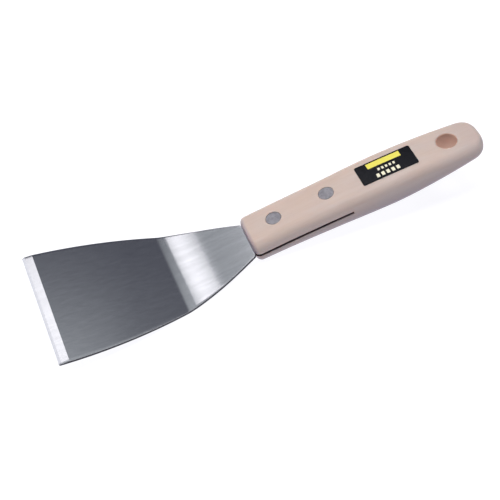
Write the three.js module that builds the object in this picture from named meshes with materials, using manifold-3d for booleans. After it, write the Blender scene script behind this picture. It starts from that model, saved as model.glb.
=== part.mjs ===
// Wall scraper: a stiff steel blade with a bent, bevel-ground working end, riveted into a slotted
// one-piece hardwood handle.
//
// The tool is drawn in a drawing frame whose origin is the centre of the handle's front end:
// +X runs to the butt, -X to the working edge, +Z is normal to the handle's labelled top face.
// The last lines turn and lift that drawing so that the tool lies on a table, label side up,
// with the model's origin below the middle of its bounding box. Millimetres throughout.

import * as THREE from 'three';
import { mergeVertices } from 'three/addons/utils/BufferGeometryUtils.js';
import Module from 'manifold-3d';

const wasm = await Module();
wasm.setup();

// ---- Driving dimensions -------------------------------------------------------------------

const INCH = 25.4;

// Blade. Stations are measured along the steel, from the handle's front end towards the edge.
const BLADE_WIDTH = 3 * INCH;
const BLADE_REACH = 110;
const BLADE_SIDE_RADIUS = 267;
const BLADE_SIDE_LEAN = THREE.MathUtils.degToRad(1.3);
const BEND_START = 37;
const BEND_END = 42.7;
const BEND_ANGLE = 14.8;
const NECK_THICKNESS = 1.4;
const FACE_THICKNESS = 1.4;
const BEVEL_LENGTH = 5.2;
const HONED_LENGTH = 1.3;
const HONED_THICKNESS = 0.95;
const EDGE_THICKNESS = 0.35;
const TANG_LENGTH = 51.5;
const TANG_WIDTH = 20.6;
const TANG_CORNER_RADIUS = 5;
const SHOULDER_STEP = 0.4;

// How far the steel has turned upwards at each station, in degrees: the neck dips a little, then
// rises through a slow lead-in to the tight bend, and the working part is flat.
const BLADE_TURNS = [
  { station: 0, turn: -0.9 },
  { station: 18, turn: -0.9 },
  { station: 23.5, turn: 1.4 },
  { station: 30, turn: 2.7 },
  { station: BEND_START, turn: 4.65 },
  { station: 41, turn: 9.8 },
  { station: BEND_END, turn: BEND_ANGLE },
  { station: BLADE_REACH, turn: BEND_ANGLE },
];

// Handle. Each section is a rounded rectangle: its place along the handle, its width, and how far
// its top and bottom faces stand from the plane of the tang.
const HANDLE_LENGTH = 129.2;
const HANDLE_SECTIONS = [
  { x: 0, width: 25.4, top: 7, bottom: 6.5 },
  { x: 20, width: 25, top: 7.65, bottom: 7.1 },
  { x: 48, width: 25.6, top: 7.85, bottom: 8.1 },
  { x: 63, width: 26.5, top: 7.9, bottom: 8.6 },
  { x: 79, width: 26.8, top: 7.55, bottom: 9 },
  { x: 95, width: 26.3, top: 6.85, bottom: 8.3 },
  { x: 111, width: 25.7, top: 5.4, bottom: 6.7 },
  { x: HANDLE_LENGTH, width: 23.4, top: 3.9, bottom: 4.9 },
];
const SHOULDER_RADIUS = 4.9;
const SHOULDER_SHARE = 0.49;
const FRONT_CORNER_RADIUS = 3.4;
const FRONT_EDGE_RADIUS = 2.2;
const BUTT_CORNER_LENGTH = 7.9;
const BUTT_CORNER_WIDTH = 9.4;
const BUTT_EDGE_RADIUS = 3.4;
const SLOT_LENGTH = 53.6;
const SLOT_HEIGHT = 1.6;
const HANG_HOLE_X = 111.8;
const HANG_HOLE_RADIUS = 5.3;
const HANG_HOLE_CHAMFER = 0.4;

// Rivets. Each is a headed tube from below and a headed pin from above that jams in the tube.
const RIVET_PLACES = { front: 15.9, rear: 45.1 };
const RIVET_HEAD_RADIUS = (5 / 32) * INCH;
const RIVET_HEAD_HEIGHT = 1.4;
const RIVET_CHAMFER = 0.25;
const RIVET_TUBE_RADIUS = 2.4;
const RIVET_BORE_RADIUS = 1.65;
const RIVET_PIN_RADIUS = 1.45;
const RIVET_END_GAP = 0.4;
const HOLE_CLEARANCE = 0.15;

// Label. A thin glossy sticker on the handle's top face.
const LABEL_CENTRE_X = 78.6;
const LABEL_LENGTH = 30.5;
const LABEL_WIDTH = 13.8;
const LABEL_CORNER_RADIUS = 1;
const LABEL_THICKNESS = 0.2;
const LABEL_GAP = 0.05;

// Resting pose: how far the handle's axis rises towards the butt when the tool lies on a table.
const REST_TILT = THREE.MathUtils.degToRad(8.94);

// Facets of the round features, and steps between rings along each stretch.
const SHOULDER_FACETS = 7;
const ROUND_SEGMENTS = 40;
const CORNER_STEPS = 6;
const BUTT_STEPS = 9;
const HANDLE_STEPS = 22;
const NECK_STEPS = 12;
const BEND_STEPS = 6;
const FACE_STEPS = 14;
const LABEL_STEPS = 8;
const CUT_MARGIN = 2;

// ---- Small helpers ------------------------------------------------------------------------

const lerp = THREE.MathUtils.lerp;

// Evenly spaced values from a to b, both included.
function spread(a, b, steps) {
  return Array.from({ length: steps + 1 }, (_, i) => lerp(a, b, i / steps));
}

// Distances from an end, close together at the end and reaching the given length.
function eased(length, steps) {
  return spread(0, 1, steps).map((u) => length * (1 - Math.cos((u * Math.PI) / 2)));
}

// A closed body through rings of points that all have the same count, with a fan at each end.
function loft(rings) {
  const count = rings[0].length;
  const positions = rings.flat().flatMap((p) => [p.x, p.y, p.z]);
  const index = [];
  for (let r = 0; r + 1 < rings.length; r += 1) {
    for (let i = 0; i < count; i += 1) {
      const a = r * count + i;
      const b = r * count + ((i + 1) % count);
      index.push(a, b, a + count, b, b + count, a + count);
    }
  }
  const last = (rings.length - 1) * count;
  for (let i = 1; i + 1 < count; i += 1) {
    index.push(0, i + 1, i);
    index.push(last, last + i, last + i + 1);
  }
  const geometry = new THREE.BufferGeometry();
  geometry.setAttribute('position', new THREE.Float32BufferAttribute(positions, 3));
  geometry.setIndex(index);
  return geometry;
}

function toSolid(geometry) {
  const bare = geometry.clone();
  bare.deleteAttribute('normal');
  bare.deleteAttribute('uv');
  const merged = mergeVertices(bare, 1e-3);
  return new wasm.Manifold(
    new wasm.Mesh({
      numProp: 3,
      vertProperties: new Float32Array(merged.attributes.position.array),
      triVerts: new Uint32Array(merged.index.array),
    }),
  );
}

function toGeometry(solid) {
  const cut = solid.getMesh();
  const geometry = new THREE.BufferGeometry();
  geometry.setAttribute('position', new THREE.BufferAttribute(cut.vertProperties, 3));
  geometry.setIndex(new THREE.BufferAttribute(cut.triVerts, 1));
  geometry.computeVertexNormals();
  return geometry;
}

// A body of revolution about a vertical line through (x, 0). The profile lists [radius, height]
// from the bottom of the axis to its top.
function turned(profile, x) {
  const points = profile.map(([radius, height]) => new THREE.Vector2(radius, height));
  const geometry = new THREE.LatheGeometry(points, ROUND_SEGMENTS);
  geometry.rotateX(Math.PI / 2);
  geometry.translate(x, 0, 0);
  return geometry;
}

// ---- Handle shape -------------------------------------------------------------------------

// A smooth value between the handle's listed sections: cubic, with even slopes at each section.
function sectionValue(key, x) {
  const last = HANDLE_SECTIONS.length - 1;
  const slopeAt = (i) => {
    const before = HANDLE_SECTIONS[Math.max(i - 1, 0)];
    const after = HANDLE_SECTIONS[Math.min(i + 1, last)];
    return (after[key] - before[key]) / (after.x - before.x);
  };
  const next = HANDLE_SECTIONS.findIndex((section) => section.x >= x);
  const i = Math.max((next < 0 ? last : next) - 1, 0);
  const from = HANDLE_SECTIONS[i];
  const to = HANDLE_SECTIONS[i + 1];
  const span = to.x - from.x;
  const u = (x - from.x) / span;
  const rise = to[key] - from[key];
  const a = slopeAt(i) * span - rise;
  const b = rise - slopeAt(i + 1) * span;
  return lerp(from[key], to[key], u) + u * (1 - u) * (a * (1 - u) + b * u);
}

// How much an elliptical corner takes off a side at a given distance from the end.
function cornerLoss(distance, length, depth) {
  if (distance >= length) {
    return 0;
  }
  const reach = (length - distance) / length;
  return depth * (1 - Math.sqrt(1 - reach * reach));
}

function halfWidth(x) {
  const front = cornerLoss(x, FRONT_CORNER_RADIUS, FRONT_CORNER_RADIUS);
  const butt = cornerLoss(HANDLE_LENGTH - x, BUTT_CORNER_LENGTH, BUTT_CORNER_WIDTH);
  return sectionValue('width', x) / 2 - front - butt;
}

// Height of the top or bottom face from the plane of the tang.
function faceHeight(side, x) {
  const front = cornerLoss(x, FRONT_EDGE_RADIUS, FRONT_EDGE_RADIUS);
  const butt = cornerLoss(HANDLE_LENGTH - x, BUTT_EDGE_RADIUS, BUTT_EDGE_RADIUS);
  return sectionValue(side, x) - front - butt;
}

// A rounded rectangle across the handle, turning from +Y through +Z.
function handleRing(x) {
  const w = halfWidth(x);
  const top = faceHeight('top', x);
  const bottom = faceHeight('bottom', x);
  const r = Math.min(SHOULDER_RADIUS, SHOULDER_SHARE * (top + bottom));
  const centres = [[w - r, top - r], [r - w, top - r], [r - w, r - bottom], [w - r, r - bottom]];
  return centres.flatMap(([y, z], quarter) =>
    spread(quarter, quarter + 1, SHOULDER_FACETS).map((turn) => {
      const angle = (turn * Math.PI) / 2;
      return new THREE.Vector3(x, y + r * Math.cos(angle), z + r * Math.sin(angle));
    }),
  );
}

// Places of the handle's rings: close together in the rounded ends, wide apart between them.
function handleStations() {
  const front = eased(FRONT_CORNER_RADIUS, CORNER_STEPS);
  const butt = eased(BUTT_CORNER_LENGTH, BUTT_STEPS).map((step) => HANDLE_LENGTH - step);
  const between = spread(FRONT_CORNER_RADIUS, HANDLE_LENGTH - BUTT_CORNER_LENGTH, HANDLE_STEPS);
  return [...front, ...between.slice(1, -1), ...butt.reverse()];
}

// ---- Sub-parts ----------------------------------------------------------------------------

// The centre line of the steel at a station: its place and how far it has turned upwards.
function bladeCentre(station) {
  const centre = { x: -Math.min(station, 0), z: 0, turn: 0 };
  for (let i = 0; i + 1 < BLADE_TURNS.length && BLADE_TURNS[i].station < station; i += 1) {
    const from = BLADE_TURNS[i];
    const to = BLADE_TURNS[i + 1];
    const run = Math.min(station, to.station) - from.station;
    const reached = lerp(from.turn, to.turn, run / (to.station - from.station));
    const middle = THREE.MathUtils.degToRad((from.turn + reached) / 2);
    centre.x -= run * Math.cos(middle);
    centre.z += run * Math.sin(middle);
    centre.turn = THREE.MathUtils.degToRad(reached);
  }
  return centre;
}

// Half the blade's width: its sides are one long arc each, nearly parallel at the edge.
function bladeHalfWidth(station) {
  const fromEdge = BLADE_REACH - station;
  const turn = Math.asin(Math.sin(BLADE_SIDE_LEAN) + fromEdge / BLADE_SIDE_RADIUS);
  return BLADE_WIDTH / 2 - BLADE_SIDE_RADIUS * (Math.cos(BLADE_SIDE_LEAN) - Math.cos(turn));
}

function tangHalfWidth(depth) {
  const loss = cornerLoss(TANG_LENGTH - depth, TANG_CORNER_RADIUS, TANG_CORNER_RADIUS);
  return TANG_WIDTH / 2 - loss;
}

// Full thickness of the steel before the bevels are ground into its upper face.
function steelThickness(station) {
  const share = THREE.MathUtils.clamp((station - BEND_END) / (BLADE_REACH - BEND_END), 0, 1);
  return lerp(NECK_THICKNESS, FACE_THICKNESS, share);
}

// Steel left at a station once the bevel and the honed edge are ground.
function groundThickness(station) {
  const fromEdge = BLADE_REACH - station;
  const full = steelThickness(station);
  if (fromEdge >= BEVEL_LENGTH) {
    return full;
  }
  if (fromEdge >= HONED_LENGTH) {
    return lerp(HONED_THICKNESS, full, (fromEdge - HONED_LENGTH) / (BEVEL_LENGTH - HONED_LENGTH));
  }
  return lerp(EDGE_THICKNESS, HONED_THICKNESS, fromEdge / HONED_LENGTH);
}

function bladeRing(station) {
  const w = station > 0 ? bladeHalfWidth(station) : tangHalfWidth(-station);
  const { x, z, turn } = bladeCentre(station);
  const low = -NECK_THICKNESS / 2;
  const high = low + groundThickness(station);
  const at = (side, height) =>
    new THREE.Vector3(x + height * Math.sin(turn), side * w, z + height * Math.cos(turn));
  return [at(1, low), at(1, high), at(-1, high), at(-1, low)];
}

function bladeStations() {
  const tang = eased(TANG_CORNER_RADIUS, CORNER_STEPS).map((step) => step - TANG_LENGTH);
  const neck = spread(SHOULDER_STEP, BEND_START, NECK_STEPS);
  const bend = spread(BEND_START, BEND_END, BEND_STEPS).slice(1);
  const face = spread(BEND_END, BLADE_REACH - BEVEL_LENGTH, FACE_STEPS).slice(1);
  const tip = [BLADE_REACH - HONED_LENGTH, BLADE_REACH];
  return [...tang, -SHOULDER_STEP, ...neck, ...bend, ...face, ...tip];
}

// The hole in the tang that a rivet's tube passes through.
function tangHoleCutter(x) {
  const r = RIVET_TUBE_RADIUS + HOLE_CLEARANCE;
  return turned([[0, -CUT_MARGIN], [r, -CUT_MARGIN], [r, CUT_MARGIN], [0, CUT_MARGIN]], x);
}

function makeBlade() {
  let blade = toSolid(loft(bladeStations().reverse().map(bladeRing)));
  for (const x of Object.values(RIVET_PLACES)) {
    blade = blade.subtract(toSolid(tangHoleCutter(x)));
  }
  return toGeometry(blade);
}

// The saw slot that takes the tang, open at the front and along both sides.
function slotCutter() {
  const slot = new THREE.BoxGeometry(SLOT_LENGTH + CUT_MARGIN, 4 * TANG_WIDTH, SLOT_HEIGHT);
  slot.translate((SLOT_LENGTH - CUT_MARGIN) / 2, 0, 0);
  return slot;
}

// A rivet's through hole with a counterbore for each head.
function rivetCutter(x) {
  const head = RIVET_HEAD_RADIUS + HOLE_CLEARANCE;
  const tube = RIVET_TUBE_RADIUS + HOLE_CLEARANCE;
  const top = faceHeight('top', x);
  const bottom = -faceHeight('bottom', x);
  const depth = RIVET_HEAD_HEIGHT + HOLE_CLEARANCE;
  return turned(
    [
      [0, bottom - CUT_MARGIN],
      [head, bottom - CUT_MARGIN],
      [head, bottom + depth],
      [tube, bottom + depth],
      [tube, top - depth],
      [head, top - depth],
      [head, top + CUT_MARGIN],
      [0, top + CUT_MARGIN],
    ],
    x,
  );
}

// The hanging hole, with both rims eased.
function hangHoleCutter() {
  const r = HANG_HOLE_RADIUS;
  const top = faceHeight('top', HANG_HOLE_X);
  const bottom = -faceHeight('bottom', HANG_HOLE_X);
  const mouth = r + HANG_HOLE_CHAMFER + CUT_MARGIN;
  return turned(
    [
      [0, bottom - CUT_MARGIN],
      [mouth, bottom - CUT_MARGIN],
      [r, bottom + HANG_HOLE_CHAMFER],
      [r, top - HANG_HOLE_CHAMFER],
      [mouth, top + CUT_MARGIN],
      [0, top + CUT_MARGIN],
    ],
    HANG_HOLE_X,
  );
}

function makeHandle() {
  let handle = toSolid(loft(handleStations().map(handleRing)));
  const cutters = [slotCutter(), hangHoleCutter(), ...Object.values(RIVET_PLACES).map(rivetCutter)];
  for (const cutter of cutters) {
    handle = handle.subtract(toSolid(cutter));
  }
  return toGeometry(handle);
}

// The lower half of a rivet: a flush head with a tube that the pin jams in.
function makeFemaleRivet(x) {
  const face = -faceHeight('bottom', x);
  const seat = face + RIVET_HEAD_HEIGHT;
  const mouth = faceHeight('top', x) - RIVET_HEAD_HEIGHT - RIVET_END_GAP;
  return turned(
    [
      [0, face],
      [RIVET_HEAD_RADIUS - RIVET_CHAMFER, face],
      [RIVET_HEAD_RADIUS, face + RIVET_CHAMFER],
      [RIVET_HEAD_RADIUS, seat],
      [RIVET_TUBE_RADIUS, seat],
      [RIVET_TUBE_RADIUS, mouth],
      [RIVET_BORE_RADIUS, mouth],
      [RIVET_BORE_RADIUS, seat],
      [0, seat],
    ],
    x,
  );
}

// The upper half of a rivet: a flush head on a solid pin.
function makeMaleRivet(x) {
  const face = faceHeight('top', x);
  const seat = face - RIVET_HEAD_HEIGHT;
  const tip = RIVET_HEAD_HEIGHT + RIVET_END_GAP - faceHeight('bottom', x);
  return turned(
    [
      [0, tip],
      [RIVET_PIN_RADIUS, tip],
      [RIVET_PIN_RADIUS, seat],
      [RIVET_HEAD_RADIUS, seat],
      [RIVET_HEAD_RADIUS, face - RIVET_CHAMFER],
      [RIVET_HEAD_RADIUS - RIVET_CHAMFER, face],
      [0, face],
    ],
    x,
  );
}

// The sticker: a thin sheet that follows the handle's top face.
function makeLabel() {
  const start = LABEL_CENTRE_X - LABEL_LENGTH / 2;
  const corner = eased(LABEL_CORNER_RADIUS, CORNER_STEPS);
  const middle = spread(LABEL_CORNER_RADIUS, LABEL_LENGTH - LABEL_CORNER_RADIUS, LABEL_STEPS);
  const farCorner = corner.map((step) => LABEL_LENGTH - step).reverse();
  const steps = [...corner, ...middle.slice(1, -1), ...farCorner];
  const rings = steps.map((step) => {
    const fromEnd = Math.min(step, LABEL_LENGTH - step);
    const w = LABEL_WIDTH / 2 - cornerLoss(fromEnd, LABEL_CORNER_RADIUS, LABEL_CORNER_RADIUS);
    const x = start + step;
    const low = faceHeight('top', x) + LABEL_GAP;
    const high = low + LABEL_THICKNESS;
    return [[w, low], [w, high], [-w, high], [-w, low]].map(([y, z]) => new THREE.Vector3(x, y, z));
  });
  return loft(rings);
}

// ---- Assembly -----------------------------------------------------------------------------

const FINISHES = {
  steel: { color: 0xa9adb2, roughness: 0.3, metalness: 1 },
  rivet: { color: 0x96939b, roughness: 0.4, metalness: 1 },
  wood: { color: 0xd6c3b8, roughness: 0.55, metalness: 0 },
  label: { color: 0x111114, roughness: 0.2, metalness: 0 },
};

function addPart(parent, name, geometry, finish) {
  const mesh = new THREE.Mesh(geometry, new THREE.MeshStandardMaterial(FINISHES[finish]));
  mesh.name = name;
  parent.add(mesh);
}

const tool = new THREE.Group();
addPart(tool, 'blade', makeBlade(), 'steel');
addPart(tool, 'handle', makeHandle(), 'wood');
for (const [place, x] of Object.entries(RIVET_PLACES)) {
  addPart(tool, `rivet_${place}_female`, makeFemaleRivet(x), 'rivet');
  addPart(tool, `rivet_${place}_male`, makeMaleRivet(x), 'rivet');
}
addPart(tool, 'label', makeLabel(), 'label');

// Turn the tool to its resting pose, then put the origin below the middle of its box.
tool.rotation.y = -REST_TILT;
tool.updateMatrixWorld(true);
const bounds = new THREE.Box3().setFromObject(tool, true);
const middle = bounds.getCenter(new THREE.Vector3());
tool.position.set(-middle.x, -middle.y, -bounds.min.z);

const model = new THREE.Group();
model.add(tool);

export default model;
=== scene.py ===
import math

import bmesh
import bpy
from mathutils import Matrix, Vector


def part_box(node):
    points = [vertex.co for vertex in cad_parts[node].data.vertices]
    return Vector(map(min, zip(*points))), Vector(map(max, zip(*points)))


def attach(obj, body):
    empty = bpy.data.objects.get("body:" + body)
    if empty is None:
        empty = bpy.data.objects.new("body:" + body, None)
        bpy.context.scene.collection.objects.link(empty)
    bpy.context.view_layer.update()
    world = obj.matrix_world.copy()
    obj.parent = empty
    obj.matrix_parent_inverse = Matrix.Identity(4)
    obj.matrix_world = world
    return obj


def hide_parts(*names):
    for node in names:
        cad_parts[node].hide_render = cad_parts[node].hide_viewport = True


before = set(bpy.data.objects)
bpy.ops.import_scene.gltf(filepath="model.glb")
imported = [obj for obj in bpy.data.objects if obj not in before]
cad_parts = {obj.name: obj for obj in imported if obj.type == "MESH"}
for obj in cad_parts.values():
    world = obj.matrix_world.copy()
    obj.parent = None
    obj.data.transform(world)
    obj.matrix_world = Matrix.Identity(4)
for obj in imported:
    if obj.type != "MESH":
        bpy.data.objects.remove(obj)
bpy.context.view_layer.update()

# Wall scraper: a bent, bevel-ground steel blade riveted into a slotted hardwood handle.
#
# Shapes are drawn in millimetres in the tool's own drawing frame: the origin is the centre of the
# handle's front end, +X runs to the butt, -X to the working edge, and +Z is normal to the labelled
# face. One placement then lays every mesh in the row frame, in metres.

# ---- Driving values, in millimetres unless noted ------------------------------------------------

MM = 0.001
INCH = 25.4
REST_TILT = math.radians(8.94)

# Blade. Stations are measured along the steel from the handle's front end towards the edge.
BLADE_WIDTH = 3 * INCH
BLADE_REACH = 110
BLADE_SIDE_RADIUS = 267
BLADE_SIDE_LEAN = math.radians(1.3)
BEND_START = 37
BEND_END = 42.7
BEND_ANGLE = 14.8
NECK_THICKNESS = 1.4
FACE_THICKNESS = 1.4
BEVEL_LENGTH = 5.2
HONED_LENGTH = 1.3
HONED_THICKNESS = 0.95
EDGE_THICKNESS = 0.35
STEEL_EDGE_RADIUS = 0.2
STEEL_EDGE_SHARE = 0.4
TIP_CORNER_RADIUS = 0.7
TANG_LENGTH = 51.5
TANG_WIDTH = 20.6
TANG_CORNER_RADIUS = 5
SHOULDER_STEP = 0.4

# How far the steel has turned upwards, in degrees, by station: the neck dips a little, then rises
# through a slow lead-in to the tight bend, and the working part is flat.
BLADE_TURNS = (
    (0, -0.9),
    (18, -0.9),
    (23.5, 1.4),
    (30, 2.7),
    (BEND_START, 4.65),
    (41, 9.8),
    (BEND_END, BEND_ANGLE),
    (BLADE_REACH, BEND_ANGLE),
)

# Handle sections: place along the handle, width, and height of the top and bottom faces from the
# plane of the tang.
HANDLE_LENGTH = 129.2
HANDLE_SECTIONS = (
    {"x": 0, "width": 25.4, "top": 7, "bottom": 6.5},
    {"x": 20, "width": 25, "top": 7.65, "bottom": 7.1},
    {"x": 48, "width": 25.6, "top": 7.85, "bottom": 8.1},
    {"x": 63, "width": 26.5, "top": 7.9, "bottom": 8.6},
    {"x": 79, "width": 26.8, "top": 7.55, "bottom": 9},
    {"x": 95, "width": 26.3, "top": 6.85, "bottom": 8.3},
    {"x": 111, "width": 25.7, "top": 5.4, "bottom": 6.7},
    {"x": HANDLE_LENGTH, "width": 23.4, "top": 3.9, "bottom": 4.9},
)
SHOULDER_RADIUS = 4.9
SHOULDER_SHARE = 0.49
FACE_CROWN = 0.3
FRONT_CORNER_RADIUS = 3.4
FRONT_EDGE_RADIUS = 2.2
BUTT_CORNER_LENGTH = 7.9
BUTT_CORNER_WIDTH = 9.4
BUTT_EDGE_RADIUS = 3.4
SLOT_LENGTH = 53.6
SLOT_HEIGHT = 1.6
HANG_HOLE_X = 111.8
HANG_HOLE_RADIUS = 5.3
HANG_HOLE_ROUND = 0.7
CUT_EDGE_ROUND = 0.08

# Wood tones: how far each reaches, in millimetres, how strong it gets, and its colour, with painted shade
# and painted bounce light among them.
# Painted shade inside the saw slot: how wide it reaches. After it come the margin and fade of the painted
# masks.
SLOT_SHADE_WIDTH = 24
MASK_MARGIN = 0.1
MASK_FADE = 0.4
# Painted shade on the handle's front end: how far in it stays full, and how strong it gets there.
FRONT_SHADE_DEPTH = 0.2
FRONT_SHADE_STRENGTH = 0.7
# Painted shade towards the underside: how far it reaches and how strong it gets.
UNDERSIDE_SHADE_REACH = 6
UNDERSIDE_SHADE_STRENGTH = 0.85
WOOD_TINTS = (
    (0.3, (0.555, 0.43, 0.365)),
    (0.5, (0.56, 0.45, 0.395)),
    (0.7, (0.55, 0.46, 0.42)),
)
GRAIN_COLOUR = (0.46, 0.32, 0.25)
FIBRE_COLOUR = (0.68, 0.57, 0.52)
FLECK_COLOUR = (0.38, 0.24, 0.18)
# Colour of the painted shade towards the underside.
UNDERSIDE_SHADE_COLOUR = (0.27, 0.24, 0.29)
# Colour of the painted shade on the front end.
FRONT_SHADE_COLOUR = (0.34, 0.28, 0.35)
# Colour of the painted warm bounce light on the wall of the hanging hole.
BORE_LIGHT_COLOUR = (0.68, 0.475, 0.385)
# Colour of the painted shade inside the saw slot.
SLOT_SHADE_COLOUR = (0.085, 0.06, 0.065)

# Rivets: a headed tube from below and a headed pin from above.
RIVET_PLACES = {"front": 15.9, "rear": 45.1}
RIVET_HEAD_RADIUS = (5 / 32) * INCH
RIVET_HEAD_HEIGHT = 1.4
RIVET_ROUND = 0.16
RIVET_TUBE_RADIUS = 2.4
RIVET_BORE_RADIUS = 1.65
RIVET_PIN_RADIUS = 1.45
RIVET_END_GAP = 0.4
RIVET_DIMPLE_RADIUS = 0.75
RIVET_DIMPLE_DEPTH = 0.2
HOLE_CLEARANCE = 0.15

# Label: a thin sticker on the handle's top face.
LABEL_CENTRE_X = 78.6
LABEL_LENGTH = 30.5
LABEL_WIDTH = 13.8
LABEL_CORNER_RADIUS = 1
LABEL_THICKNESS = 0.2
LABEL_GAP = 0.05
LABEL_EDGE_RADIUS = 0.08

# Label print: areas as shares of its length and width, and dashes with their pitch as a share of
# the length and the filled share of each pitch.
LABEL_BAR = {"left": 0.2, "right": 0.8, "low": 0.67, "high": 0.93}
UPPER_ROW = {"left": 0.33, "right": 0.67, "low": 0.42, "high": 0.54}
LOWER_ROW = {"left": 0.27, "right": 0.72, "low": 0.11, "high": 0.29}
UPPER_DASHES = {"pitch": 0.068, "filled": 0.55}
LOWER_DASHES = {"pitch": 0.09, "filled": 0.6}
BAR_COLOUR = (0.78, 0.70, 0.12)
DASH_COLOUR = (0.80, 0.76, 0.58)

# Mesh fineness: steps along the blade, the handle, the rims and the label.
ROUND_SEGMENTS = 64
TANG_CORNER_STEPS = 8
TANG_STEPS = 12
NECK_STEPS = 60
BEND_STEPS = 28
FACE_STEPS = 60
BEVEL_STEPS = 6
TIP_STEPS = 5
FRONT_STEPS = 10
HANDLE_STEPS = 110
BUTT_STEPS = 18
MOUTH_STEPS = 6
HEAD_STEPS = 6
HEAD_RIM_STEPS = 4
LABEL_STEPS = 40
LABEL_CORNER_STEPS = 6

# Mesh limits: how far cutters stand proud, the longest sliver that is merged, the angles of a sharp
# line on a finished piece and on a fresh cut, and how far to the side a punched face points.
CUT_MARGIN = 2
SLIVER = 0.1
SHARP_ANGLE = math.radians(32)
CUT_SHARP_ANGLE = math.radians(50)
SIDE_FACING = 0.3

# The range that most of a noise pattern lies in.
NOISE_LOW = 0.3
NOISE_HIGH = 0.7

# Camera, in the drawing frame: turned about the vertical, tipped down, and rolled.
VIEW_AZIMUTH = math.radians(3.963)
VIEW_ELEVATION = math.radians(47.827)
VIEW_ROLL = math.radians(22.035)
VIEW_DISTANCE = 695.7
VIEW_TARGET = Vector((-1.36, -6.11, 0))
LENS = 100.07
SENSOR = 36
CLIP_START = 10

# Stage: the floor's reach in metres and its squares a side, the world's colours by height, and the
# number of dim panels with their lowest elevation and its step, in degrees.
FLOOR_REACH = 3
FLOOR_GRID = 8
HORIZON = (0.03, (0.9, 0.92, 1.0))
SKY = (0.10, (0.10, 0.103, 0.132))
DIM_PANELS = 5
DIM_PANEL_ELEVATION = 53
DIM_PANEL_STEP = 0.8


# ---- Small helpers ------------------------------------------------------------------------------

def lerp(a, b, t):
    return a + (b - a) * t


def clamp(value, low, high):
    return max(low, min(high, value))


def spread(a, b, steps):
    """Evenly spaced values from a to b, both included."""
    return [lerp(a, b, i / steps) for i in range(steps + 1)]


def eased(length, steps):
    """Distances from an end, close together at the end and reaching length."""
    return [length * (1 - math.cos(u * math.pi / 2)) for u in spread(0, 1, steps)]


def corner_loss(distance, length, depth):
    """How much an elliptical corner takes off a side at a distance from the end."""
    if distance >= length:
        return 0
    reach = (length - distance) / length
    return depth * (1 - math.sqrt(max(0, 1 - reach * reach)))


# ---- Handle shape -------------------------------------------------------------------------------

def section_slope(key, i):
    before = HANDLE_SECTIONS[max(i - 1, 0)]
    after = HANDLE_SECTIONS[min(i + 1, len(HANDLE_SECTIONS) - 1)]
    return (after[key] - before[key]) / (after["x"] - before["x"])


def section_value(key, x):
    """A smooth cubic between the listed sections, with even slopes at each section."""
    i = 0
    while i + 2 < len(HANDLE_SECTIONS) and HANDLE_SECTIONS[i + 1]["x"] < x:
        i += 1
    start, end = HANDLE_SECTIONS[i], HANDLE_SECTIONS[i + 1]
    span = end["x"] - start["x"]
    u = (x - start["x"]) / span
    rise = end[key] - start[key]
    a = section_slope(key, i) * span - rise
    b = rise - section_slope(key, i + 1) * span
    return lerp(start[key], end[key], u) + u * (1 - u) * (a * (1 - u) + b * u)


def half_width(x):
    front = corner_loss(x, FRONT_CORNER_RADIUS, FRONT_CORNER_RADIUS)
    butt = corner_loss(HANDLE_LENGTH - x, BUTT_CORNER_LENGTH, BUTT_CORNER_WIDTH)
    return section_value("width", x) / 2 - front - butt


def face_height(side, x):
    """Height of the top or bottom face, on the middle line, from the plane of the tang."""
    front = corner_loss(x, FRONT_EDGE_RADIUS, FRONT_EDGE_RADIUS)
    butt = corner_loss(HANDLE_LENGTH - x, BUTT_EDGE_RADIUS, BUTT_EDGE_RADIUS)
    return section_value(side, x) - front - butt


def crowned(x, y, z):
    """Lowers the faces slightly towards the sides, as sanding leaves them."""
    height = face_height("top" if z > 0 else "bottom", x)
    return z * (1 - FACE_CROWN / height * (y / half_width(x)) ** 2)


def surface_z(side, x, y):
    """Height of the crowned top or bottom face over a point."""
    sign = 1 if side == "top" else -1
    return crowned(x, y, sign * face_height(side, x))


# ---- Blade shape --------------------------------------------------------------------------------

def blade_centre(station):
    """The steel's centre line at a station: its x and z, and how far it has turned upwards."""
    x, z, turn = -min(station, 0), 0, 0
    for (start, low), (end, high) in zip(BLADE_TURNS, BLADE_TURNS[1:]):
        if station > start:
            run = min(station, end) - start
            reached = lerp(low, high, run / (end - start))
            middle = math.radians((low + reached) / 2)
            x -= run * math.cos(middle)
            z += run * math.sin(middle)
            turn = math.radians(reached)
    return x, z, turn


def blade_half_width(station):
    """Half the blade's width: each side is one long arc, nearly parallel at the edge."""
    from_edge = BLADE_REACH - station
    turn = math.asin(math.sin(BLADE_SIDE_LEAN) + from_edge / BLADE_SIDE_RADIUS)
    taper = BLADE_SIDE_RADIUS * (math.cos(BLADE_SIDE_LEAN) - math.cos(turn))
    corner = corner_loss(from_edge, TIP_CORNER_RADIUS, TIP_CORNER_RADIUS)
    return BLADE_WIDTH / 2 - taper - corner


def tang_half_width(depth):
    return TANG_WIDTH / 2 - corner_loss(TANG_LENGTH - depth, TANG_CORNER_RADIUS, TANG_CORNER_RADIUS)


def ground_thickness(station):
    """Steel left once the bevel and the honed edge are ground into its upper side."""
    from_edge = BLADE_REACH - station
    share = clamp((station - BEND_END) / (BLADE_REACH - BEND_END), 0, 1)
    full = lerp(NECK_THICKNESS, FACE_THICKNESS, share)
    if from_edge >= BEVEL_LENGTH:
        return full
    if from_edge >= HONED_LENGTH:
        return lerp(HONED_THICKNESS, full, (from_edge - HONED_LENGTH) / (BEVEL_LENGTH - HONED_LENGTH))
    return lerp(EDGE_THICKNESS, HONED_THICKNESS, from_edge / HONED_LENGTH)


# ---- Placement ----------------------------------------------------------------------------------

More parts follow.
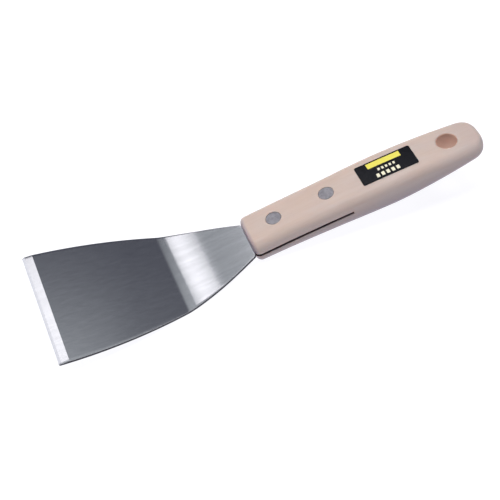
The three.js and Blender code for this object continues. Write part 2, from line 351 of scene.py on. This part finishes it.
def placement():
    """Lays the drawing in the row frame: the resting tilt, then the place of the CAD label."""
    turn = Matrix.Rotation(-REST_TILT, 4, "Y")
    start = LABEL_CENTRE_X - LABEL_LENGTH / 2
    low = face_height("top", start) + LABEL_GAP
    lowest_x = (turn @ Vector((start, 0, low + LABEL_THICKNESS))).x
    lowest_z = (turn @ Vector((start, 0, low))).z
    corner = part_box("label")[0]
    shift = Matrix.Translation((corner.x - lowest_x * MM, 0, corner.z - lowest_z * MM))
    return shift @ turn @ Matrix.Scale(MM, 4)


PLACE = placement()


# ---- Mesh building ------------------------------------------------------------------------------

def rounded_ring(w, top, bottom, r, arc, wide, tall):
    """A rounded rectangle as (y, z) points, from +Y through +Z, with steps on arcs and flats."""
    centres = ((w - r, top - r), (r - w, top - r), (r - w, r - bottom), (w - r, r - bottom))
    flats = (wide, tall, wide, tall)
    points = []
    for quarter, centre in enumerate(centres):
        for turn in spread(quarter, quarter + 1, arc):
            angle = turn * math.pi / 2
            points.append((centre[0] + r * math.cos(angle), centre[1] + r * math.sin(angle)))
        angle = (quarter + 1) * math.pi / 2
        after = centres[(quarter + 1) % 4]
        goal = (after[0] + r * math.cos(angle), after[1] + r * math.sin(angle))
        start = points[-1]
        for t in spread(0, 1, flats[quarter])[1:-1]:
            points.append((lerp(start[0], goal[0], t), lerp(start[1], goal[1], t)))
    return points


def loft(rings):
    """A closed body through rings of points that all have the same count."""
    body = bmesh.new()
    rows = [[body.verts.new(point) for point in ring] for ring in rings]
    count = len(rows[0])
    for row, after in zip(rows, rows[1:]):
        for i in range(count):
            j = (i + 1) % count
            body.faces.new((row[i], row[j], after[j], after[i]))
    body.faces.new(rows[0])
    body.faces.new(rows[-1])
    bmesh.ops.recalc_face_normals(body, faces=body.faces)
    return body


def circle(x, radius):
    """Points round (x, 0) at a radius, or a single one where the radius is 0."""
    steps = ROUND_SEGMENTS if radius > 0 else 1
    angles = [2 * math.pi * i / steps for i in range(steps)]
    return [(x + radius * math.cos(a), radius * math.sin(a)) for a in angles]


def round_body(rings):
    """A closed body through round rings; a ring on the axis is a single point."""
    body = bmesh.new()
    rows = [[body.verts.new(point) for point in ring] for ring in rings]
    for row, after in zip(rows, rows[1:]):
        for i in range(ROUND_SEGMENTS):
            j = (i + 1) % ROUND_SEGMENTS
            corners = [row[i % len(row)], row[j % len(row)], after[j % len(after)], after[i % len(after)]]
            body.faces.new(list(dict.fromkeys(corners)))
    bmesh.ops.recalc_face_normals(body, faces=body.faces)
    return body


def turned(profile, x):
    """A body of revolution about the upright line through (x, 0), from (radius, height) points."""
    return round_body([[(px, py, height) for px, py in circle(x, radius)] for radius, height in profile])


def temporary(body):
    """An object made from a body, for the cuts only."""
    mesh = bpy.data.meshes.new("temporary")
    body.to_mesh(mesh)
    body.free()
    piece = bpy.data.objects.new("temporary", mesh)
    bpy.context.scene.collection.objects.link(piece)
    return piece


def cut(body, cutters):
    """The body with every cutter taken away, as a new bmesh."""
    target = temporary(body)
    tools = [temporary(cutter) for cutter in cutters]
    for tool in tools:
        modifier = target.modifiers.new("cut", "BOOLEAN")
        modifier.operation = "DIFFERENCE"
        modifier.solver = "EXACT"
        modifier.object = tool
    result = bmesh.new()
    result.from_object(target, bpy.context.evaluated_depsgraph_get())
    for piece in (target, *tools):
        mesh = piece.data
        bpy.data.objects.remove(piece)
        bpy.data.meshes.remove(mesh)
    bmesh.ops.recalc_face_normals(result, faces=result.faces)
    return result


def sharp_edges(body, angle):
    """Edges between two faces that turn by more than an angle."""
    return [e for e in body.edges if len(e.link_faces) == 2 and e.calc_face_angle(0) > angle]


def soften_cuts(body, width):
    """Merges the slivers that the cutters left, then rounds their sharp lines."""
    bmesh.ops.remove_doubles(body, verts=body.verts, dist=SLIVER)
    bmesh.ops.dissolve_degenerate(body, edges=body.edges, dist=SLIVER / 10)
    bmesh.ops.bevel(
        body,
        geom=sharp_edges(body, CUT_SHARP_ANGLE),
        offset=width,
        segments=2,
        profile=0.5,
        affect="EDGES",
        clamp_overlap=False,
    )


def plan_uv(body, corner, size):
    """Flat coordinates from a corner, in units of size: U runs along the tool and V across it."""
    layer = body.loops.layers.uv.new("plan")
    for face in body.faces:
        for loop in face.loops:
            place = loop.vert.co
            loop[layer].uv = ((place.x - corner[0]) / size[0], (place.y - corner[1]) / size[1])


def finish_piece(name, body, materials, node, creases=()):
    """Turns a drawn body into a placed, shaded piece that stands for one CAD node."""
    for face in body.faces:
        face.smooth = True
    for edge in (*sharp_edges(body, SHARP_ANGLE), *creases):
        edge.smooth = False
    body.transform(PLACE)
    mesh = bpy.data.meshes.new(name)
    body.to_mesh(mesh)
    body.free()
    for material in materials:
        mesh.materials.append(material)
    piece = bpy.data.objects.new(name, mesh)
    bpy.context.scene.collection.objects.link(piece)
    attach(piece, "root")
    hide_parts(node)
    return piece


# ---- Material building --------------------------------------------------------------------------

def start_material(name):
    material = bpy.data.materials.new(name)
    material.use_nodes = True
    tree = material.node_tree
    return material, tree, tree.nodes["Principled BSDF"]


def set_shader(shader, **values):
    """Sets plain values on the sockets whose names the keywords spell."""
    for key, value in values.items():
        shader.inputs[key.replace("_", " ").title().replace("Ior", "IOR")].default_value = value


def tool_axes(tree):
    """Places on the tool in its own drawing frame, in millimetres, whatever its resting tilt."""
    if "tool_axes" not in tree.nodes:
        place = tree.nodes.new("ShaderNodeTexCoord")
        turn = tree.nodes.new("ShaderNodeMapping")
        turn.name = "tool_axes"
        turn.inputs["Location"].default_value = PLACE.inverted().translation
        turn.inputs["Rotation"].default_value = (0, REST_TILT, 0)
        turn.inputs["Scale"].default_value = (1 / MM, 1 / MM, 1 / MM)
        tree.links.new(place.outputs["Object"], turn.inputs["Vector"])
    return tree.nodes["tool_axes"].outputs["Vector"]


def noise(tree, scale, detail=3, roughness=0.5, distortion=0.0):
    """Noise whose scale gives the cells per millimetre along each of the tool's axes."""
    stretch = tree.nodes.new("ShaderNodeMapping")
    stretch.inputs["Scale"].default_value = scale
    tree.links.new(tool_axes(tree), stretch.inputs["Vector"])
    node = tree.nodes.new("ShaderNodeTexNoise")
    node.inputs["Scale"].default_value = 1
    node.inputs["Detail"].default_value = detail
    node.inputs["Roughness"].default_value = roughness
    node.inputs["Distortion"].default_value = distortion
    tree.links.new(stretch.outputs["Vector"], node.inputs["Vector"])
    return node.outputs["Fac"]


def ramp(tree, factor, stops):
    """Maps a factor through (position, colour) stops."""
    node = tree.nodes.new("ShaderNodeValToRGB")
    elements = node.color_ramp.elements
    while len(elements) < len(stops):
        elements.new(0.5)
    for element, (position, colour) in zip(elements, stops):
        element.position = position
        element.color = (*colour, 1)
    tree.links.new(factor, node.inputs["Fac"])
    return node.outputs["Color"]


def fit(tree, factor, low, high, to_low, to_high):
    """Maps a factor's range to another, held at its ends."""
    node = tree.nodes.new("ShaderNodeMapRange")
    for key, value in zip(("From Min", "From Max", "To Min", "To Max"), (low, high, to_low, to_high)):
        node.inputs[key].default_value = value
    tree.links.new(factor, node.inputs["Value"])
    return node.outputs["Result"]


def vary(tree, factor, low, high):
    """Maps a noise onto low to high."""
    return fit(tree, factor, NOISE_LOW, NOISE_HIGH, low, high)


def shade(tree, factor, dark, pale):
    """Maps a noise onto the colours from dark to pale."""
    return ramp(tree, factor, ((NOISE_LOW, dark), (NOISE_HIGH, pale)))


def calc(tree, operation, a, b=0):
    """One arithmetic step; each operand is a socket or a number."""
    node = tree.nodes.new("ShaderNodeMath")
    node.operation = operation
    for socket, value in zip(node.inputs, (a, b)):
        if isinstance(value, bpy.types.NodeSocket):
            tree.links.new(value, socket)
        else:
            socket.default_value = value
    return node.outputs[0]


def mix(tree, factor, a, b):
    """Mixes two colours; each operand is a socket or a colour."""
    node = tree.nodes.new("ShaderNodeMix")
    node.data_type = "RGBA"
    if isinstance(factor, bpy.types.NodeSocket):
        tree.links.new(factor, node.inputs["Factor"])
    else:
        node.inputs["Factor"].default_value = factor
    for key, value in (("A", a), ("B", b)):
        socket = next(s for s in node.inputs if s.name == key and s.type == "RGBA")
        if isinstance(value, bpy.types.NodeSocket):
            tree.links.new(value, socket)
        else:
            socket.default_value = (*value, 1)
    return next(s for s in node.outputs if s.type == "RGBA")


def bump(tree, shader, height, depth):
    """Relief from a height factor, whose full range is depth millimetres."""
    node = tree.nodes.new("ShaderNodeBump")
    node.inputs["Strength"].default_value = 1
    node.inputs["Distance"].default_value = depth * MM
    tree.links.new(height, node.inputs["Height"])
    tree.links.new(node.outputs["Normal"], shader.inputs["Normal"])


# ---- Materials ----------------------------------------------------------------------------------

def brushed_steel():
    """Ground and polished spring steel: fine lines along the blade over faint cloudy patches."""
    material, tree, shader = start_material("brushed_steel")
    lines = noise(tree, (0.05, 4.0, 4.0), detail=6, roughness=0.7)
    broad_lines = noise(tree, (0.03, 0.6, 0.6), detail=3)
    clouds = noise(tree, (0.04, 0.06, 0.06), detail=2)
    grain = calc(tree, "ADD", calc(tree, "MULTIPLY", broad_lines, 0.5), calc(tree, "MULTIPLY", lines, 0.5))
    colour = shade(tree, grain, (0.505, 0.515, 0.535), (0.615, 0.625, 0.645))
    tree.links.new(colour, shader.inputs["Base Color"])
    rough = calc(tree, "ADD", vary(tree, lines, 0.13, 0.16), vary(tree, clouds, 0, 0.01))
    tree.links.new(rough, shader.inputs["Roughness"])
    tangent = tree.nodes.new("ShaderNodeTangent")
    tangent.direction_type = "UV_MAP"
    tangent.uv_map = "plan"
    tree.links.new(tangent.outputs["Tangent"], shader.inputs["Tangent"])
    set_shader(shader, metallic=1, anisotropic=0.6, anisotropic_rotation=0.25)
    bump(tree, shader, lines, 0.0015)
    return material


def side_shade_steel():
    """The blade's punched side faces: dull, with short upright tear marks, and near black, which paints
    the shade on the sides.
    """
    material, tree, shader = start_material("side_shade_steel")
    tears = noise(tree, (2.2, 2.2, 0.5), detail=4, roughness=0.6)
    # Near-black steel: painted shade on the sides, varied by the tear marks.
    colour = shade(tree, tears, (0.025, 0.025, 0.03), (0.08, 0.08, 0.095))
    tree.links.new(colour, shader.inputs["Base Color"])
    tree.links.new(vary(tree, tears, 0.42, 0.6), shader.inputs["Roughness"])
    set_shader(shader, metallic=1)
    bump(tree, shader, tears, 0.03)
    return material


def sanded_rivet():
    """Rivet heads sanded flush with the wood: dull, with fine straight scratches."""
    material, tree, shader = start_material("sanded_rivet")
    scratches = noise(tree, (0.4, 5.0, 2.0), detail=5, roughness=0.7)
    blotches = noise(tree, (0.6, 0.6, 0.6), detail=3)
    colour = mix(
        tree,
        0.5,
        shade(tree, scratches, (0.36, 0.34, 0.37), (0.72, 0.70, 0.74)),
        ramp(tree, blotches, ((0.35, (0.40, 0.38, 0.41)), (0.65, (0.70, 0.68, 0.71)))),
    )
    tree.links.new(colour, shader.inputs["Base Color"])
    tree.links.new(vary(tree, scratches, 0.42, 0.62), shader.inputs["Roughness"])
    set_shader(shader, metallic=0.85)
    bump(tree, shader, scratches, 0.015)
    return material


def tool_place(tree):
    """The x, y and z of a place on the tool, in millimetres."""
    split = tree.nodes.new("ShaderNodeSeparateXYZ")
    tree.links.new(tool_axes(tree), split.inputs["Vector"])
    return split.outputs["X"], split.outputs["Y"], split.outputs["Z"]


def hang_hole_light_mask(tree):
    """1 on the wall of the hanging hole, fading out over its rim: this is where warm bounce light is
    painted on the wood.
    """
    x, y, _ = tool_place(tree)
    x = calc(tree, "SUBTRACT", x, HANG_HOLE_X)
    squares = calc(tree, "ADD", calc(tree, "MULTIPLY", x, x), calc(tree, "MULTIPLY", y, y))
    radius = calc(tree, "SQRT", squares)
    return fit(tree, radius, HANG_HOLE_RADIUS + MASK_MARGIN, HANG_HOLE_RADIUS + MASK_FADE, 1, 0)


def underside_shade_mask(tree):
    """Rises towards the side that lies on the bench: painted shade that darkens and greys the wood towards
    its underside.
    """
    _, _, z = tool_place(tree)
    return fit(tree, z, -UNDERSIDE_SHADE_REACH, UNDERSIDE_SHADE_REACH, UNDERSIDE_SHADE_STRENGTH, 0)


def front_shade_mask(tree):
    """Rises towards the handle's front end, over its rounded front edge: painted shade, a purplish grey,
    on the end.
    """
    x, _, _ = tool_place(tree)
    return fit(tree, x, FRONT_SHADE_DEPTH, FRONT_EDGE_RADIUS, FRONT_SHADE_STRENGTH, 0)


def slot_shade_mask(tree):
    """1 on the faces of the saw slot, fading at its mouth: painted shade, near black, inside the slot."""
    x, y, z = tool_place(tree)
    height = calc(tree, "LESS_THAN", calc(tree, "ABSOLUTE", z), (SLOT_HEIGHT + MASK_MARGIN) / 2)
    length = calc(tree, "LESS_THAN", x, SLOT_LENGTH + MASK_MARGIN)
    half = SLOT_SHADE_WIDTH / 2
    width = fit(tree, calc(tree, "ABSOLUTE", y), half, half + MASK_FADE, 1, 0)
    return calc(tree, "MULTIPLY", calc(tree, "MULTIPLY", height, length), width)


def pale_wood():
    """Close-grained pale hardwood under a thin satin lacquer, with painted shade in the slot, on the front
    end and towards the underside, and painted warm bounce light in the hanging hole.
    """
    material, tree, shader = start_material("pale_wood")
    tint = noise(tree, (0.02, 0.07, 0.07), detail=3, distortion=0.4)
    grain = noise(tree, (0.03, 0.55, 0.55), detail=5, roughness=0.6, distortion=0.3)
    fibres = noise(tree, (0.12, 4.0, 4.0), detail=4, roughness=0.65)
    flecks = noise(tree, (0.35, 2.6, 2.6), detail=2, roughness=0.5)
    base = ramp(tree, tint, WOOD_TINTS)
    lined = mix(tree, fit(tree, grain, 0.35, 0.68, 0, 0.22), base, GRAIN_COLOUR)
    fine = mix(tree, fit(tree, fibres, 0.35, 0.65, 0, 0.12), lined, FIBRE_COLOUR)
    flecked = mix(tree, fit(tree, flecks, 0.66, 0.76, 0, 0.25), fine, FLECK_COLOUR)
    # Painted shade towards the underside.
    underside_shaded = mix(tree, underside_shade_mask(tree), flecked, UNDERSIDE_SHADE_COLOUR)
    # Painted shade on the handle's front end.
    front_shaded = mix(tree, front_shade_mask(tree), underside_shaded, FRONT_SHADE_COLOUR)
    # Painted warm bounce light on the wall of the hanging hole.
    bore_lit = mix(tree, hang_hole_light_mask(tree), front_shaded, BORE_LIGHT_COLOUR)
    # Painted shade inside the saw slot.
    slot_shaded = mix(tree, slot_shade_mask(tree), bore_lit, SLOT_SHADE_COLOUR)
    tree.links.new(slot_shaded, shader.inputs["Base Color"])
    tree.links.new(vary(tree, fibres, 0.42, 0.55), shader.inputs["Roughness"])
    set_shader(shader, specular_ior_level=0.3, subsurface_weight=0.25, subsurface_scale=0.002)
    shader.inputs["Subsurface Radius"].default_value = (1, 0.5, 0.35)
    bump(tree, shader, fibres, 0.02)
    return material


def between(tree, value, low, high):
    """1 where a value lies between two limits."""
    above = calc(tree, "GREATER_THAN", value, low)
    return calc(tree, "MULTIPLY", above, calc(tree, "LESS_THAN", value, high))


def print_mask(tree, u, v, left, right, low, high):
    """1 inside a rectangle of the label, given as shares of its length and width."""
    return calc(tree, "MULTIPLY", between(tree, u, left, right), between(tree, v, low, high))


def dashes(tree, u, pitch, filled):
    """1 on the filled share of every pitch along the label."""
    return calc(tree, "LESS_THAN", calc(tree, "FRACT", calc(tree, "DIVIDE", u, pitch)), filled)


def label_film():
    """Glossy dark film with a plain yellow bar and two rows of plain pale dashes."""
    material, tree, shader = start_material("label_film")
    place = tree.nodes.new("ShaderNodeUVMap")
    place.uv_map = "plan"
    split = tree.nodes.new("ShaderNodeSeparateXYZ")
    tree.links.new(place.outputs["UV"], split.inputs["Vector"])
    u, v = split.outputs["X"], split.outputs["Y"]
    bar = print_mask(tree, u, v, **LABEL_BAR)
    upper = calc(tree, "MULTIPLY", print_mask(tree, u, v, **UPPER_ROW), dashes(tree, u, **UPPER_DASHES))
    lower = calc(tree, "MULTIPLY", print_mask(tree, u, v, **LOWER_ROW), dashes(tree, u, **LOWER_DASHES))
    dust = noise(tree, (0.8, 0.8, 0.8), detail=4)
    film = ramp(tree, dust, ((0.4, (0.004, 0.004, 0.006)), (0.7, (0.010, 0.010, 0.013))))
    barred = mix(tree, bar, film, BAR_COLOUR)
    printed = mix(tree, calc(tree, "MAXIMUM", upper, lower), barred, DASH_COLOUR)
    tree.links.new(printed, shader.inputs["Base Color"])
    tree.links.new(vary(tree, dust, 0.16, 0.26), shader.inputs["Roughness"])
    set_shader(shader, specular_ior_level=0.3)
    bump(tree, shader, dust, 0.01)
    return material


def pale_floor():
    """A pale matt surface that glows a little, so that it stays pale under soft light."""
    material, tree, shader = start_material("pale_floor")
    mottle = noise(tree, (0.02, 0.02, 0.02), detail=3)
    colour = shade(tree, mottle, (0.20, 0.20, 0.207), (0.21, 0.21, 0.217))
    tree.links.new(colour, shader.inputs["Base Color"])
    tree.links.new(colour, shader.inputs["Emission Color"])
    set_shader(shader, roughness=0.9, specular_ior_level=0.1, emission_strength=4.4)
    return material


# ---- Pieces -------------------------------------------------------------------------------------

def blade_stations():
    """Stations from the tang's end to the working edge, close together where the steel curves."""
    tang = [-(TANG_LENGTH - step) for step in eased(TANG_CORNER_RADIUS, TANG_CORNER_STEPS)]
    tang += spread(TANG_CORNER_RADIUS - TANG_LENGTH, -SHOULDER_STEP, TANG_STEPS)[1:]
    neck = spread(SHOULDER_STEP, BEND_START, NECK_STEPS)
    bend = spread(BEND_START, BEND_END, BEND_STEPS)[1:]
    bevel_start = BLADE_REACH - BEVEL_LENGTH
    honed_start = BLADE_REACH - HONED_LENGTH
    face = spread(BEND_END, bevel_start, FACE_STEPS)[1:]
    bevel = spread(bevel_start, honed_start, BEVEL_STEPS)[1:]
    tip = [BLADE_REACH - step for step in reversed(eased(TIP_CORNER_RADIUS, TIP_STEPS))]
    return tang + neck + bend + face + bevel + tip


def make_blade():
    stations = blade_stations()
    rings = []
    for station in stations:
        w = blade_half_width(station) if station > 0 else tang_half_width(-station)
        thick = ground_thickness(station)
        x, z, turn = blade_centre(station)
        r = min(STEEL_EDGE_RADIUS, STEEL_EDGE_SHARE * thick)
        low = NECK_THICKNESS / 2
        section = rounded_ring(w, thick - low, low, r, arc=5, wide=48, tall=2)
        rings.append([(x + h * math.sin(turn), y, z + h * math.cos(turn)) for y, h in section])
    body = loft(rings)
    plan_uv(body, (0, 0), (BLADE_WIDTH, BLADE_WIDTH))
    mark_sides(body)
    creases = crease_lines(body, stations, len(rings[0]))
    finish_piece("scraper_blade", body, (brushed_steel(), side_shade_steel()), "blade", creases)


def mark_sides(body):
    """The punched sides and their torn lower corners take the second material."""
    for face in body.faces:
        if abs(face.normal.y) > SIDE_FACING and face.normal.z < SIDE_FACING:
            face.material_index = 1


def crease_lines(body, stations, count):
    """The crisp lines where the bevel and the honed edge begin."""
    body.verts.ensure_lookup_table()
    rows = [stations.index(BLADE_REACH - BEVEL_LENGTH), stations.index(BLADE_REACH - HONED_LENGTH)]
    chosen = {body.verts[row * count + i] for row in rows for i in range(count)}
    row_of = {vert: vert.index // count for vert in chosen}
    return [
        edge
        for edge in body.edges
        if edge.verts[0] in chosen and row_of.get(edge.verts[0]) == row_of.get(edge.verts[1])
    ]


def handle_stations():
    """Places along the handle, close together at its rounded ends."""
    front = eased(FRONT_CORNER_RADIUS, FRONT_STEPS)
    butt = [HANDLE_LENGTH - step for step in reversed(eased(BUTT_CORNER_LENGTH, BUTT_STEPS))]
    middle = spread(FRONT_CORNER_RADIUS, HANDLE_LENGTH - BUTT_CORNER_LENGTH, HANDLE_STEPS)[1:-1]
    return front + middle + butt


def handle_ring(x):
    top = face_height("top", x)
    bottom = face_height("bottom", x)
    r = min(SHOULDER_RADIUS, SHOULDER_SHARE * (top + bottom))
    section = rounded_ring(half_width(x), top, bottom, r, arc=12, wide=16, tall=2)
    return [(x, y, crowned(x, y, z)) for y, z in section]


def slot_cutter():
    """The saw slot for the tang, open at the front and along both sides."""
    body = bmesh.new()
    size = (SLOT_LENGTH + CUT_MARGIN, 4 * TANG_WIDTH, SLOT_HEIGHT)
    centre = Vector(((SLOT_LENGTH - CUT_MARGIN) / 2, 0, 0))
    for sx in (-1, 1):
        for sy in (-1, 1):
            for sz in (-1, 1):
                offset = Vector((sx * size[0], sy * size[1], sz * size[2])) / 2
                body.verts.new(centre + offset)
    bmesh.ops.convex_hull(body, input=body.verts)
    bmesh.ops.recalc_face_normals(body, faces=body.faces)
    return body


def rivet_cutter(x):
    """A rivet's through hole with a counterbore for each head."""
    head = RIVET_HEAD_RADIUS + HOLE_CLEARANCE
    tube = RIVET_TUBE_RADIUS + HOLE_CLEARANCE
    top = face_height("top", x)
    bottom = -face_height("bottom", x)
    depth = RIVET_HEAD_HEIGHT + HOLE_CLEARANCE
    profile = (
        (0, bottom - CUT_MARGIN),
        (head, bottom - CUT_MARGIN),
        (head, bottom + depth),
        (tube, bottom + depth),
        (tube, top - depth),
        (head, top - depth),
        (head, top + CUT_MARGIN),
        (0, top + CUT_MARGIN),
    )
    return turned(profile, x)


def hang_hole_cutter():
    """The hanging hole with rounded rims that follow the slope of the handle's faces."""
    r = HANG_HOLE_ROUND
    angles = spread(0, math.pi / 2, MOUTH_STEPS)
    mouth = [(HANG_HOLE_RADIUS + r - r * math.cos(a), r * math.sin(a) - r) for a in angles]
    mouth += [(mouth[-1][0], CUT_MARGIN), (0, CUT_MARGIN)]
    rings = []
    for side, sign, rim in (("top", 1, mouth[::-1]), ("bottom", -1, mouth)):
        for radius, height in rim:
            points = circle(HANG_HOLE_X, radius)
            rings.append([(x, y, surface_z(side, x, y) + sign * height) for x, y in points])
    return round_body(rings)


def make_handle():
    blank = loft([handle_ring(x) for x in handle_stations()])
    cutters = [slot_cutter(), hang_hole_cutter()] + [rivet_cutter(x) for x in RIVET_PLACES.values()]
    body = cut(blank, cutters)
    soften_cuts(body, CUT_EDGE_ROUND)
    finish_piece("wood_handle", body, (pale_wood(),), "handle")


def head_profile(radius, depth):
    """A rivet head from its middle out: a shallow centre dimple, a flat and a rounded rim."""
    dimple = [
        (share * RIVET_DIMPLE_RADIUS, -RIVET_DIMPLE_DEPTH * (1 - share * share) ** 2)
        for share in spread(0, 1, HEAD_STEPS)
    ]
    flat = [(r, 0) for r in spread(RIVET_DIMPLE_RADIUS, radius - RIVET_ROUND, HEAD_STEPS)[1:]]
    rim = [
        (radius - RIVET_ROUND * (1 - math.sin(a)), RIVET_ROUND * (math.cos(a) - 1))
        for a in spread(0, math.pi / 2, HEAD_RIM_STEPS)[1:]
    ]
    return dimple + flat + rim + [(radius, -depth)]


def follow_face(body, side, x):
    """Slopes a rivet head with the sanded face of the handle."""
    face = surface_z(side, x, 0)
    for vert in body.verts:
        if abs(vert.co.z) > abs(face) - RIVET_HEAD_HEIGHT / 2:
            vert.co.z += surface_z(side, vert.co.x, vert.co.y) - face


def make_male_rivet(place, x, material):
    face = face_height("top", x)
    tip = RIVET_HEAD_HEIGHT + RIVET_END_GAP - face_height("bottom", x)
    seat = face - RIVET_HEAD_HEIGHT
    head = [(r, face + h) for r, h in head_profile(RIVET_HEAD_RADIUS, RIVET_HEAD_HEIGHT)]
    body = turned(head + [(RIVET_PIN_RADIUS, seat), (RIVET_PIN_RADIUS, tip), (0, tip)], x)
    follow_face(body, "top", x)
    node = f"rivet_{place}_male"
    finish_piece(f"upper_rivet_{place}", body, (material,), node)


def make_female_rivet(place, x, material):
    face = -face_height("bottom", x)
    seat = face + RIVET_HEAD_HEIGHT
    mouth = face_height("top", x) - RIVET_HEAD_HEIGHT - RIVET_END_GAP
    head = [(r, face - h) for r, h in head_profile(RIVET_HEAD_RADIUS, RIVET_HEAD_HEIGHT)]
    tube = [
        (RIVET_TUBE_RADIUS, seat),
        (RIVET_TUBE_RADIUS, mouth),
        (RIVET_BORE_RADIUS, mouth),
        (RIVET_BORE_RADIUS, seat),
        (0, seat),
    ]
    body = turned(head + tube, x)
    follow_face(body, "bottom", x)
    node = f"rivet_{place}_female"
    finish_piece(f"lower_rivet_{place}", body, (material,), node)


def make_label():
    start = LABEL_CENTRE_X - LABEL_LENGTH / 2
    corner = eased(LABEL_CORNER_RADIUS, LABEL_CORNER_STEPS)
    middle = spread(LABEL_CORNER_RADIUS, LABEL_LENGTH - LABEL_CORNER_RADIUS, LABEL_STEPS)[1:-1]
    steps = corner + middle + [LABEL_LENGTH - step for step in reversed(corner)]
    rings = []
    for step in steps:
        from_end = min(step, LABEL_LENGTH - step)
        w = LABEL_WIDTH / 2 - corner_loss(from_end, LABEL_CORNER_RADIUS, LABEL_CORNER_RADIUS)
        x = start + step
        section = rounded_ring(w, LABEL_THICKNESS, 0, LABEL_EDGE_RADIUS, arc=2, wide=24, tall=1)
        rings.append([(x, y, surface_z("top", x, y) + LABEL_GAP + h) for y, h in section])
    body = loft(rings)
    plan_uv(body, (start, -LABEL_WIDTH / 2), (LABEL_LENGTH, LABEL_WIDTH))
    finish_piece("handle_label", body, (label_film(),), "label")


# ---- Stage --------------------------------------------------------------------------------------

def make_floor():
    body = bmesh.new()
    bmesh.ops.create_grid(body, x_segments=FLOOR_GRID, y_segments=FLOOR_GRID, size=FLOOR_REACH)
    mesh = bpy.data.meshes.new("floor")
    body.to_mesh(mesh)
    body.free()
    mesh.materials.append(pale_floor())
    floor = bpy.data.objects.new("floor", mesh)
    bpy.context.scene.collection.objects.link(floor)


def make_world():
    """A dim sky above a pale horizon."""
    world = bpy.data.worlds.new("studio")
    world.use_nodes = True
    tree = world.node_tree
    place = tree.nodes.new("ShaderNodeTexCoord")
    split = tree.nodes.new("ShaderNodeSeparateXYZ")
    tree.links.new(place.outputs["Generated"], split.inputs["Vector"])
    sky = ramp(tree, split.outputs["Z"], (HORIZON, SKY))
    tree.links.new(sky, tree.nodes["Background"].inputs["Color"])
    bpy.context.scene.world = world


def rigid_place():
    """The placement of lights and camera, whose distances are in metres already."""
    return PLACE @ Matrix.Scale(1 / MM, 4)


def aim(azimuth, tilt, roll):
    """Turns what looks straight down: up by tilt, round by azimuth, and about its own line by roll."""
    swing = Matrix.Rotation(-azimuth, 4, "Z")
    return swing @ Matrix.Rotation(tilt, 4, "X") @ Matrix.Rotation(roll, 4, "Z")


def soft_light(name, azimuth, elevation, distance, size, radiance, colour, centre, roll=0):
    """A soft panel that faces centre, with its angles in degrees and its sizes in metres.

    Azimuth turns from +Y towards +X, as seen on the tool.
    """
    turn = aim(math.radians(azimuth), math.radians(elevation - 90), math.radians(roll))
    along = turn.to_3x3().col[2]
    light = bpy.data.lights.new(name, "AREA")
    light.shape = "RECTANGLE"
    light.size, light.size_y = size
    light.energy = radiance * math.pi * size[0] * size[1]
    light.color = colour
    lamp = bpy.data.objects.new(name, light)
    bpy.context.scene.collection.objects.link(lamp)
    lamp.matrix_world = rigid_place() @ Matrix.Translation(centre * MM + along * distance) @ turn
    return lamp


def make_lights():
    """Broad panels light the wood; the narrow ones are what the steel mirrors to the camera."""
    middle = Vector((0, 0, 0))
    neck = Vector((-27, 0, 0))
    edge = Vector((-109, 0, 18))
    overhead = soft_light(
        "overhead", azimuth=0, elevation=82.5, distance=1.6, size=(2.4, 0.85),
        radiance=4.75, colour=(0.99, 0.985, 0.98), centre=middle,
    )
    # Hidden from mirror reflections, so that the steel does not burn out when seen from above.
    overhead.visible_glossy = False
    soft_light(
        "ceiling_panel", azimuth=100, elevation=58, distance=2.2, size=(2.0, 1.6),
        radiance=0.8, colour=(1, 1, 1), centre=middle,
    )
    soft_light(
        "fill_panel", azimuth=180, elevation=38, distance=2.5, size=(3.0, 2.2),
        radiance=0.17, colour=(1, 1, 1), centre=middle,
    )
    soft_light(
        "bright_panel", azimuth=6.95, elevation=47.5, distance=3, size=(0.165, 0.68),
        radiance=1.7, colour=(1, 0.96, 0.98), centre=neck,
    )
    for step in range(DIM_PANELS):
        elevation = DIM_PANEL_ELEVATION + DIM_PANEL_STEP * step
        soft_light(
            f"dim_panel_{step}", azimuth=4, elevation=elevation, distance=3, size=(2.0, 1.2),
            radiance=0.085, colour=(0.96, 1, 1), centre=neck, roll=-25,
        )
    soft_light(
        "tip_panel", azimuth=19.5, elevation=46.5, distance=3, size=(0.42, 0.42),
        radiance=0.18, colour=(0.96, 1, 1), centre=neck,
    )
    soft_light(
        "near_panel", azimuth=25, elevation=45, distance=3, size=(0.5, 0.3),
        radiance=0.09, colour=(0.96, 1, 1), centre=neck, roll=27,
    )
    soft_light(
        "side_panel", azimuth=-28, elevation=38, distance=1.5, size=(0.5, 0.5),
        radiance=1.35, colour=(0.97, 0.96, 1), centre=edge,
    )


def make_camera():
    turn = aim(VIEW_AZIMUTH, math.pi / 2 - VIEW_ELEVATION, -VIEW_ROLL)
    backwards = turn.to_3x3().col[2]
    position = (VIEW_TARGET + backwards * VIEW_DISTANCE) * MM
    lens = bpy.data.cameras.new("camera")
    lens.lens = LENS
    lens.sensor_width = SENSOR
    lens.clip_start = CLIP_START * MM
    camera = bpy.data.objects.new("camera", lens)
    bpy.context.scene.collection.objects.link(camera)
    camera.matrix_world = rigid_place() @ Matrix.Translation(position) @ turn
    bpy.context.scene.camera = camera


# ---- Build --------------------------------------------------------------------------------------

make_camera()
make_blade()
make_handle()
rivet_material = sanded_rivet()
for place, x in RIVET_PLACES.items():
    make_male_rivet(place, x, rivet_material)
    make_female_rivet(place, x, rivet_material)
make_label()
make_floor()
make_world()
make_lights()
bpy.context.scene.view_settings.view_transform = "Standard"
